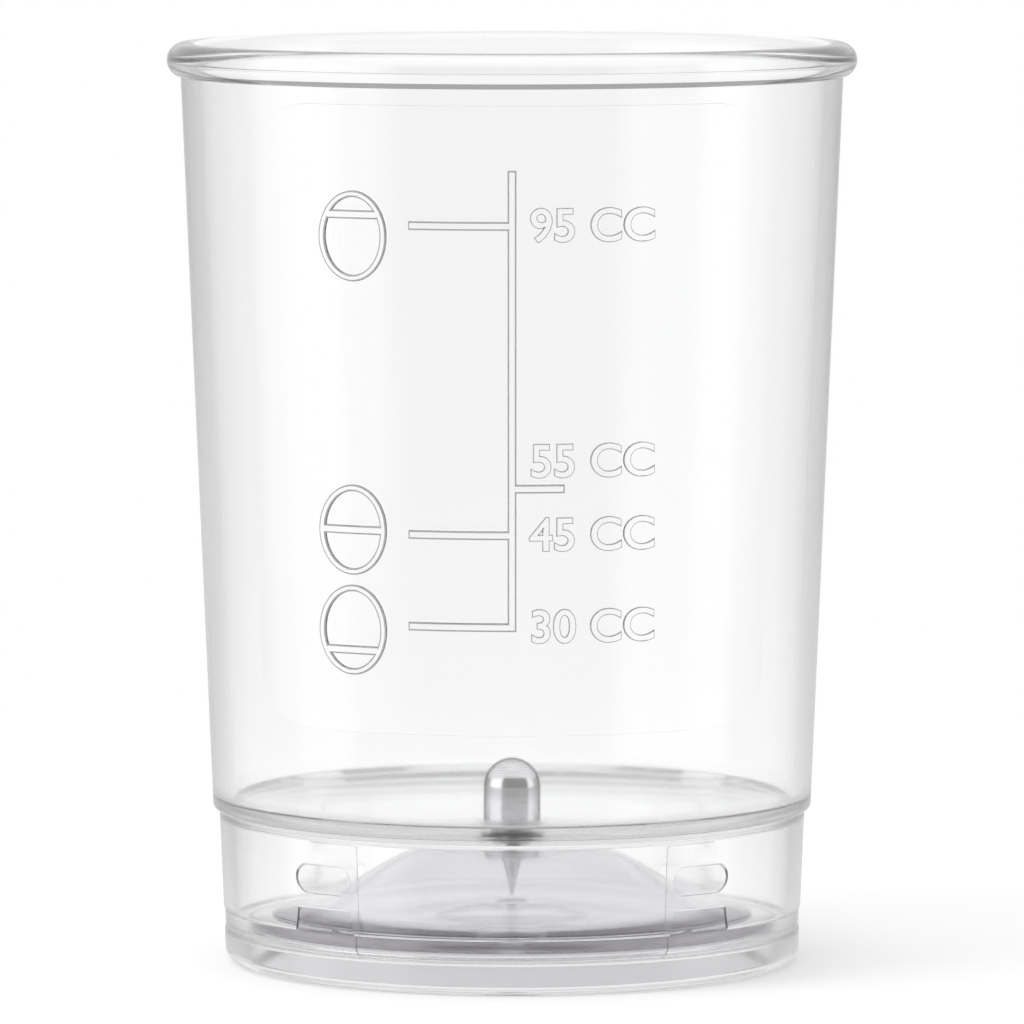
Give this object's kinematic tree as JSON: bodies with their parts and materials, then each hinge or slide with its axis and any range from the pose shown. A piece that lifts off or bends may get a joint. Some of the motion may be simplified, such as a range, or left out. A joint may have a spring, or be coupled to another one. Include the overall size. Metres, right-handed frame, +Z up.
{
  "type": "egg cooker measuring cup",
  "caption": "Clear tapered measuring cup with a beaded rim and a raised fill scale, whose snap-in base hides a needle behind a sprung seat that pierces an egg's shell.",
  "frame": {"origin": "on the table, under the middle of the cup", "axes": "+Z up along the cup's axis, -Y towards the fill scale on the front, +X to the right of it"},
  "size_m": [0.0576, 0.0576, 0.077],
  "materials": {
    "clear_plastic": "clear, polished moulding",
    "turned_steel": "turned stainless steel",
    "silicone": "milky silicone"
  },
  "bodies": {
    "cup": {"cup_body": "clear_plastic", "base_ring": "clear_plastic", "bell_spring": "clear_plastic", "pin_cap": "turned_steel", "pin_seal": "silicone", "piercing_needle": "turned_steel"},
    "seat": {"egg_seat": "clear_plastic"}
  },
  "joints": [
    {"name": "seat_press", "type": "slide", "parent": "cup", "child": "seat", "axis": [0, 0, 1], "range_m": [0, 0.0032], "stiffness_N_per_m": 800, "springref_m": -0.003, "deforming": ["bell_spring"]}
  ]
}
